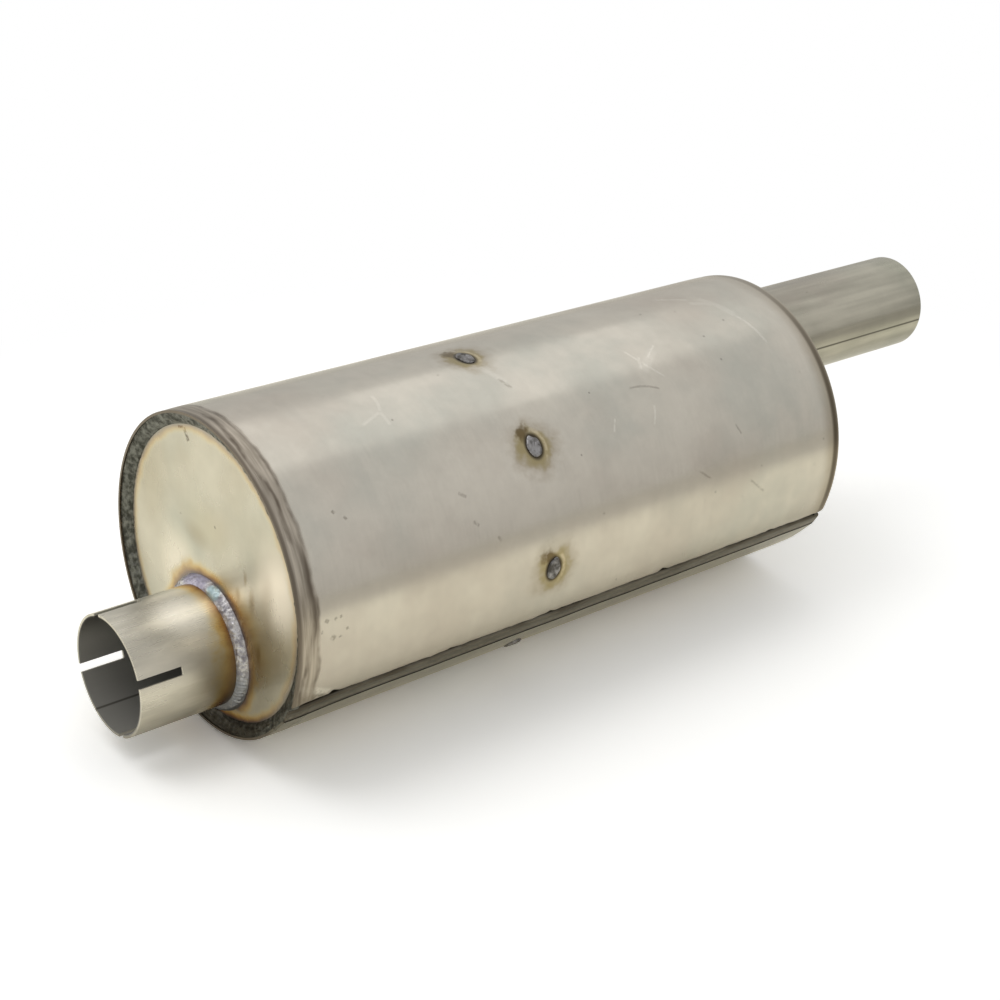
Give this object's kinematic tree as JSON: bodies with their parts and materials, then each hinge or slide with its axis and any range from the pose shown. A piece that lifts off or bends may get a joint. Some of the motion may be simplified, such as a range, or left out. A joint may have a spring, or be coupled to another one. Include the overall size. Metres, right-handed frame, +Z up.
{
  "type": "exhaust muffler",
  "caption": "Round stainless exhaust muffler with a slotted inlet socket low on one end cap and a longer outlet pipe high on the other.",
  "frame": {"origin": "centre of the inlet socket's mouth", "axes": "+X along the gas flow from the inlet mouth to the outlet, +Z up, from the low inlet to the high outlet, +Y to the side away from the lock seam"},
  "size_m": [0.5015, 0.1538, 0.1538],
  "materials": {
    "shell_sheet": "satin mill finish",
    "cap_sheet": "satin, heat tinted at the welds",
    "inlet_tube": "satin, heat tinted at the weld",
    "outlet_tube": "satin, drawn lines",
    "inner_sheet": "plain sheet",
    "weld_metal": "rough weld metal"
  },
  "bodies": {
    "root": {"shell": "shell_sheet", "inlet_end_cap": "cap_sheet", "outlet_end_cap": "cap_sheet", "inlet_pipe": "inlet_tube", "outlet_pipe": "outlet_tube", "baffle_plate": "inner_sheet", "inlet_inner_tube": "inner_sheet", "outlet_inner_tube": "inner_sheet", "inlet_rim_weld": "weld_metal", "outlet_rim_weld": "weld_metal", "inlet_pipe_weld": "weld_metal", "outlet_pipe_weld": "weld_metal", "plug_weld_1": "weld_metal", "plug_weld_2": "weld_metal", "plug_weld_3": "weld_metal", "plug_weld_4": "weld_metal", "plug_weld_5": "weld_metal", "plug_weld_6": "weld_metal", "plug_weld_7": "weld_metal", "plug_weld_8": "weld_metal"}
  },
  "joints": []
}
